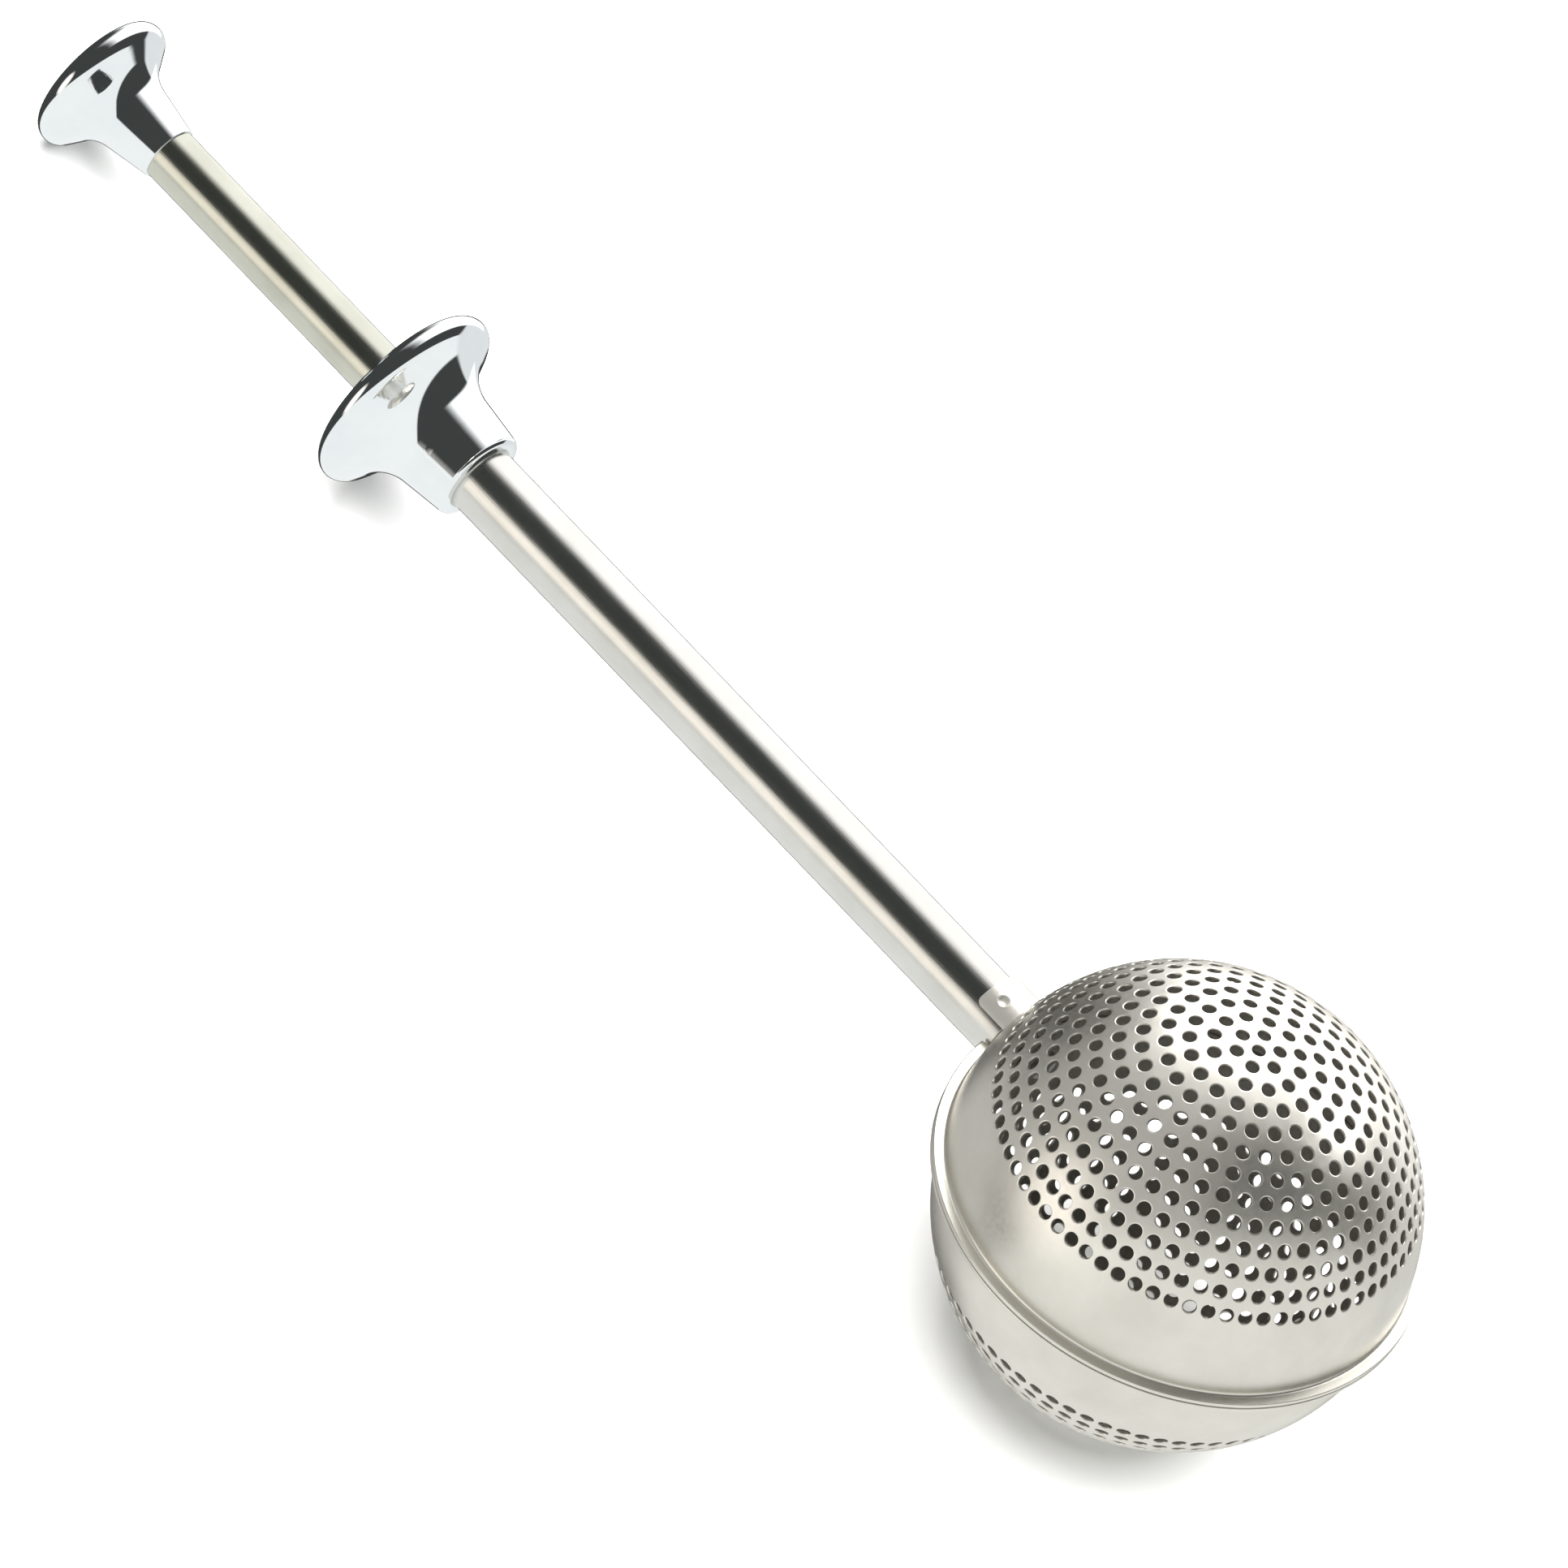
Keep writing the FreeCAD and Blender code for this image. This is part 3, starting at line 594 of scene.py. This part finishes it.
def make_spring(material):
    """Coil between the washers, at its rest length."""
    upper = -(PLUNGER_FOOT - PLUG_HEAD - WASHER) + SPRING_PLAY + SPRING_WIRE
    lower = -(TUBE_FOOT + BUSH_LENGTH + WASHER) - SPRING_WIRE
    turns = (lower - upper) / SPRING_PITCH
    steps, sides = int(turns * COIL_STEPS), WIRE_SIDES
    points, faces = [], []
    for i in range(steps + 1):
        turn = 2 * math.pi * turns * i / steps
        middle = Vector((upper + (lower - upper) * i / steps, SPRING * math.cos(turn),
                         SPRING * math.sin(turn)))
        out = Vector((0, math.cos(turn), math.sin(turn)))
        for k in range(sides):
            round_wire = 2 * math.pi * k / sides
            points.append(middle + (out * math.cos(round_wire)
                                    + Vector((1, 0, 0)) * math.sin(round_wire)) * SPRING_WIRE)
    for i in range(steps):
        for k in range(sides):
            n = (k + 1) % sides
            a, b = i * sides, (i + 1) * sides
            faces.append((a + k, a + n, b + n, b + k))
    faces.append(tuple(range(sides)))
    faces.append(tuple(steps * sides + k for k in reversed(range(sides))))
    piece = mesh_object("return_spring_coil", points, faces, "handle", material, "return_spring")
    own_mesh(piece)
    return piece


# ---- materials ----


def steel(name, colour, shade, roughness, grain, bump, scratch=0.0):
    """Metal with a fine grain along or across the tube.

    colour and shade are the two tints that it wanders between, roughness its two limits,
    grain the size of its marks in millimetres along and across the tube.
    """
    material = bpy.data.materials.new(name)
    material.use_nodes = True
    nodes, links = material.node_tree.nodes, material.node_tree.links
    metal = nodes["Principled BSDF"]
    metal.inputs["Metallic"].default_value = 1.0
    place = nodes.new("ShaderNodeTexCoord")
    along = nodes.new("ShaderNodeMapping")
    along.vector_type = "TEXTURE"
    along.inputs["Rotation"].default_value = (0, -math.asin(ALONG.z), 0)
    along.inputs["Scale"].default_value = (grain[0] * MM, grain[1] * MM, grain[1] * MM)
    links.new(place.outputs["Object"], along.inputs["Vector"])

    def noise(vector, scale, detail, rough):
        node = nodes.new("ShaderNodeTexNoise")
        node.inputs["Scale"].default_value = scale
        node.inputs["Detail"].default_value = detail
        node.inputs["Roughness"].default_value = rough
        links.new(vector, node.inputs["Vector"])
        return node.outputs["Fac"]

    def spread(value, low, high):
        node = nodes.new("ShaderNodeMapRange")
        node.inputs["From Min"].default_value = 0.3
        node.inputs["From Max"].default_value = 0.7
        node.inputs["To Min"].default_value = low
        node.inputs["To Max"].default_value = high
        links.new(value, node.inputs["Value"])
        return node.outputs["Result"]

    broad = nodes.new("ShaderNodeMapping")
    broad.vector_type = "TEXTURE"
    broad.inputs["Scale"].default_value = (6 * MM, 6 * MM, 6 * MM)
    links.new(place.outputs["Object"], broad.inputs["Vector"])
    patches = noise(broad.outputs["Vector"], 1.0, 3, 0.6)
    marks = noise(along.outputs["Vector"], 1.0, 6, 0.65)

    tint = nodes.new("ShaderNodeMix")
    tint.data_type = "RGBA"
    tint.inputs["A"].default_value = (*colour, 1)
    tint.inputs["B"].default_value = (*shade, 1)
    links.new(spread(patches, 0, 1), tint.inputs["Factor"])
    links.new(tint.outputs["Result"], metal.inputs["Base Color"])
    links.new(spread(marks, *roughness), metal.inputs["Roughness"])

    relief = nodes.new("ShaderNodeBump")
    relief.inputs["Strength"].default_value = bump
    relief.inputs["Distance"].default_value = 0.05 * MM
    links.new(marks, relief.inputs["Height"])
    normal = relief.outputs["Normal"]
    if scratch:
        lines = nodes.new("ShaderNodeTexWave")
        lines.inputs["Scale"].default_value = 0.21
        lines.inputs["Distortion"].default_value = 9.0
        lines.inputs["Detail"].default_value = 4.0
        lines.inputs["Detail Scale"].default_value = 0.6
        links.new(broad.outputs["Vector"], lines.inputs["Vector"])
        thin = nodes.new("ShaderNodeMapRange")
        thin.inputs["From Min"].default_value = 0.97
        thin.inputs["From Max"].default_value = 1.0
        links.new(lines.outputs["Fac"], thin.inputs["Value"])
        scored = nodes.new("ShaderNodeBump")
        scored.invert = True
        scored.inputs["Strength"].default_value = scratch
        scored.inputs["Distance"].default_value = 0.03 * MM
        links.new(thin.outputs["Result"], scored.inputs["Height"])
        links.new(normal, scored.inputs["Normal"])
        normal = scored.outputs["Normal"]
    links.new(normal, metal.inputs["Normal"])
    return material


CHROME = steel("polished_chrome", (0.93, 0.95, 0.96), (0.87, 0.90, 0.92),
               (0.02, 0.06), (1.5, 1.5), 0.04, 0.12)
TUBE_STEEL = steel("brushed_satin_steel", (0.78, 0.77, 0.74), (0.71, 0.70, 0.66),
                   (0.15, 0.26), (5.0, 0.12), 0.14)
PLUNGER_STEEL = steel("brushed_plunger_steel", (0.66, 0.66, 0.58), (0.58, 0.58, 0.50),
                      (0.15, 0.26), (5.0, 0.12), 0.14)
SHEET_STEEL = steel("satin_pressed_steel", (0.84, 0.81, 0.74), (0.76, 0.73, 0.66),
                    (0.34, 0.42), (0.5, 0.5), 0.10)
# painted shade: the hemispheres' inner side gets about half the outer steel's colour, darkening the inside of the
# ball where shade falls; its higher roughness is real
SHADED_INSIDE_STEEL = steel("pressed_steel_inside_painted_shade", (0.42, 0.40, 0.36), (0.34, 0.32, 0.29),
                     (0.45, 0.60), (0.5, 0.5), 0.10)
TURNED_STEEL = steel("turned_steel", (0.70, 0.70, 0.69), (0.62, 0.62, 0.61),
                     (0.22, 0.34), (0.15, 2.0), 0.15)
SPRING_STEEL = steel("spring_steel", (0.58, 0.58, 0.59), (0.48, 0.48, 0.49),
                     (0.18, 0.30), (0.8, 0.8), 0.10)

# ---- the object ----

SLOTS = {"polished_chrome": CHROME, "brushed_satin_steel": TUBE_STEEL,
         "satin_pressed_steel": SHEET_STEEL, "turned_steel": TURNED_STEEL,
         "spring_steel": SPRING_STEEL}
for subpart in frame["record"]["subparts"]:
    node = frame["nodes"][subpart["node"]]
    node.data.materials.clear()
    node.data.materials.append(SLOTS[subpart["material_slot"]])

KNOB = make_knob(CHROME)
COLLAR = make_collar(CHROME)
INNER_TUBE = make_tube(
    "plunger_tube_skin", "plunger_tube", "plunger", PLUNGER_STEEL,
    -(KNOB_PLACE - KNOB_SHAPE["length"] + KNOB_BORE_DEPTH), -PLUNGER_FOOT, PLUNGER, PLUNGER_BORE)
OUTER_TUBE = make_tube(
    "outer_tube_skin", "outer_tube", "handle", TUBE_STEEL,
    -(COLLAR_PLACE + COLLAR_SHAPE["rim"] - TUBE_RECESS), -TUBE_FOOT, TUBE, TUBE_BORE)
FRONT = make_hemisphere("front_shell", "handle", SHEET_STEEL, ROD + ROD_CLEARANCE, False)
BACK = make_hemisphere("back_shell", "plunger", SHEET_STEEL, ROD, True)
# the hemispheres' inner faces get the steel with painted shade
for shell in (FRONT, BACK):
    paint_shade_inside(shell, SHADED_INSIDE_STEEL)
SADDLE = make_saddle(SHEET_STEEL)
TROUGH = make_trough(SHEET_STEEL)
SPRING_COIL = make_spring(SPRING_STEEL)

# ---- view: the camera leans towards the ball's end, is turned about the tube, and slants ----

LEAN = math.radians(18)
TURN = math.radians(42)
TO_CAMERA = (ALONG * math.sin(LEAN) - ACROSS * math.sin(TURN) * math.cos(LEAN)
             + POLE * math.cos(TURN) * math.cos(LEAN))
DOWN_TUBE = (ALONG - TO_CAMERA * math.sin(LEAN)) / math.cos(LEAN)
OFF_TUBE = TO_CAMERA.cross(DOWN_TUBE)
SLANT = math.radians(46.2)
RIGHT = DOWN_TUBE * math.cos(SLANT) + OFF_TUBE * math.sin(SLANT)
UP = OFF_TUBE * math.cos(SLANT) - DOWN_TUBE * math.sin(SLANT)
VIEW_WIDTH = 147.5
MIDDLE_DEPTH = 20.0
AIM = CENTRE + (UP * 39.5 - RIGHT * 36.9 - TO_CAMERA * MIDDLE_DEPTH) * MM


def studio(right, up, near):
    """Direction given by its parts to the picture's right, up and towards the camera."""
    return (RIGHT * right + UP * up + TO_CAMERA * near).normalized()


def looking(at, place, up=UP):
    """Placement of a camera or light at place that looks towards at."""
    back = (place - at).normalized()
    side = up.cross(back).normalized()
    turn = Matrix((side, back.cross(side), back)).transposed()
    return Matrix.Translation(place) @ turn.to_4x4()


def add_camera():
    """Camera far off with a very long lens, so that the view is almost flat."""
    data = bpy.data.cameras.new("camera")
    data.lens = 1500
    data.sensor_width = 36
    data.clip_end = 20
    camera = bpy.data.objects.new("camera", data)
    bpy.context.scene.collection.objects.link(camera)
    distance = VIEW_WIDTH * MM * data.lens / data.sensor_width
    camera.matrix_world = looking(AIM, AIM + TO_CAMERA * distance)
    bpy.context.scene.camera = camera


def add_floor():
    """Plain pale table, with a faint cloudiness; it stays out of the metal's reflections."""
    material = bpy.data.materials.new("pale_floor")
    material.use_nodes = True
    nodes, links = material.node_tree.nodes, material.node_tree.links
    surface = nodes["Principled BSDF"]
    surface.inputs["Roughness"].default_value = 0.8
    cloud = nodes.new("ShaderNodeTexNoise")
    cloud.inputs["Scale"].default_value = 3.0
    tint = nodes.new("ShaderNodeMix")
    tint.data_type = "RGBA"
    tint.inputs["A"].default_value = (0.90, 0.90, 0.89, 1)
    tint.inputs["B"].default_value = (0.88, 0.88, 0.87, 1)
    links.new(cloud.outputs["Fac"], tint.inputs["Factor"])
    links.new(tint.outputs["Result"], surface.inputs["Base Color"])
    mesh = bpy.data.meshes.new("floor")
    reach = 6.0
    corners = [(-reach, -reach, 0), (reach, -reach, 0), (reach, reach, 0), (-reach, reach, 0)]
    mesh.from_pydata(corners, [], [(0, 1, 2, 3)])
    mesh.materials.append(material)
    floor = bpy.data.objects.new("floor", mesh)
    bpy.context.scene.collection.objects.link(floor)
    floor.visible_glossy = False


def add_floor_light():
    """Soft light from straight above, only for the table and its shadows."""
    data = bpy.data.lights.new("floor_light", "AREA")
    data.shape = "DISK"
    data.size = 1.8
    data.energy = 66
    light = bpy.data.objects.new("floor_light", data)
    bpy.context.scene.collection.objects.link(light)
    light.matrix_world = looking(CENTRE, CENTRE + Vector((0, 0, 1.2)), ACROSS)
    light.visible_camera = False
    light.visible_glossy = False


def add_lamp(name, way, distance, size, power, lit):
    """Small round lamp that looks at the ball and lights only the pieces in the group lit."""
    data = bpy.data.lights.new(name, "AREA")
    data.shape = "DISK"
    data.size = size
    data.energy = power
    lamp = bpy.data.objects.new(name, data)
    bpy.context.scene.collection.objects.link(lamp)
    lamp.matrix_world = looking(CENTRE, CENTRE + way * distance)
    lamp.visible_camera = False
    lamp.light_linking.receiver_collection = lit


# Each light region of the studio is a list of limits, (direction, edge, softness), that all
# have to hold: the part of a ray's own direction along that direction is above the edge.


def round_box(direction, reach, soft):
    """Limits of a round softbox: a direction, and the least part along it at its edge."""
    edge = math.cos(math.radians(reach))
    inside = math.cos(math.radians(reach - soft))
    return [(direction, edge, inside - edge)]


def round_tube(angle):
    """Direction square to the tube, at an angle from the camera's side towards its upper side."""
    angle = math.radians(angle)
    return OFF_TUBE * math.sin(angle) + FACING * math.cos(angle)


FACING = (TO_CAMERA - ALONG * math.sin(LEAN)).normalized()
ROOM = (0.050, 0.054, 0.052)
STUDIO = [
    # pale table below
    ([(-UP, 0.24, 0.03)], (0.92, 0.94, 0.93)),
    # backdrop on the right behind
    (round_box(studio(0.66, 0.0, -0.75), 28, 3), (0.78, 0.80, 0.80)),
    # round softbox on the left in front
    (round_box(studio(-0.85, 0.05, 0.52), 18, 7), (1.35, 1.29, 1.20)),
    # strip softbox along the tube, from 55 to 155 degrees round it
    (
        [
            (round_tube(55 + 90), 0.0, 0.26),
            (round_tube(155 - 90), 0.0, 0.06),
            (ALONG, -0.75, 0.10),
            (-ALONG, -0.15, 0.05),
        ],
        (1.40, 1.40, 1.40),
    ),
]


def add_studio():
    """Studio all round: a dark room over a pale table, with its softboxes and backdrop."""
    world = bpy.data.worlds.new("studio")
    bpy.context.scene.world = world
    world.use_nodes = True
    nodes, links = world.node_tree.nodes, world.node_tree.links
    sky = nodes["Background"]
    way = nodes.new("ShaderNodeTexCoord").outputs["Generated"]

    def part_along(direction):
        dot = nodes.new("ShaderNodeVectorMath")
        dot.operation = "DOT_PRODUCT"
        dot.inputs[1].default_value = direction
        links.new(way, dot.inputs[0])
        return dot.outputs["Value"]

    def step(value, low, high):
        node = nodes.new("ShaderNodeMapRange")
        node.interpolation_type = "SMOOTHSTEP"
        node.inputs["From Min"].default_value = low
        node.inputs["From Max"].default_value = high
        links.new(value, node.inputs["Value"])
        return node.outputs["Result"]

    def blend(share, under, over):
        node = nodes.new("ShaderNodeMix")
        node.data_type = "RGBA"
        links.new(share, node.inputs["Factor"])
        for socket, colour in (("A", under), ("B", over)):
            if isinstance(colour, tuple):
                node.inputs[socket].default_value = (*colour, 1)
            else:
                links.new(colour, node.inputs[socket])
        return node.outputs["Result"]

    def both(one, other):
        node = nodes.new("ShaderNodeMath")
        node.operation = "MULTIPLY"
        links.new(one, node.inputs[0])
        links.new(other, node.inputs[1])
        return node.outputs["Value"]

    light = ROOM
    for limits, colour in STUDIO:
        share = None
        for direction, edge, soft in limits:
            inside = step(part_along(direction), edge - soft, edge + soft)
            share = both(share, inside) if share else inside
        light = blend(share, light, colour)
    links.new(light, sky.inputs["Color"])


add_camera()
add_floor()
add_floor_light()
BALL_PIECES = bpy.data.collections.new("ball_pieces")
for piece in (FRONT, BACK, SADDLE, TROUGH):
    BALL_PIECES.objects.link(piece)
add_lamp("key_lamp", studio(0.30, 0.95, -0.09), 0.25, 0.15, 0.30, BALL_PIECES)
add_lamp("side_lamp", studio(0.88, 0.47, -0.01), 0.25, 0.12, 0.12, BALL_PIECES)
add_lamp("fill_lamp", studio(-0.55, 0.45, 0.70), 0.25, 0.70, 0.46, BALL_PIECES)
add_lamp("left_lamp", studio(-0.85, 0.15, -0.50), 0.25, 0.25, 0.09, BALL_PIECES)
add_studio()

bpy.context.scene.view_settings.view_transform = "Standard"
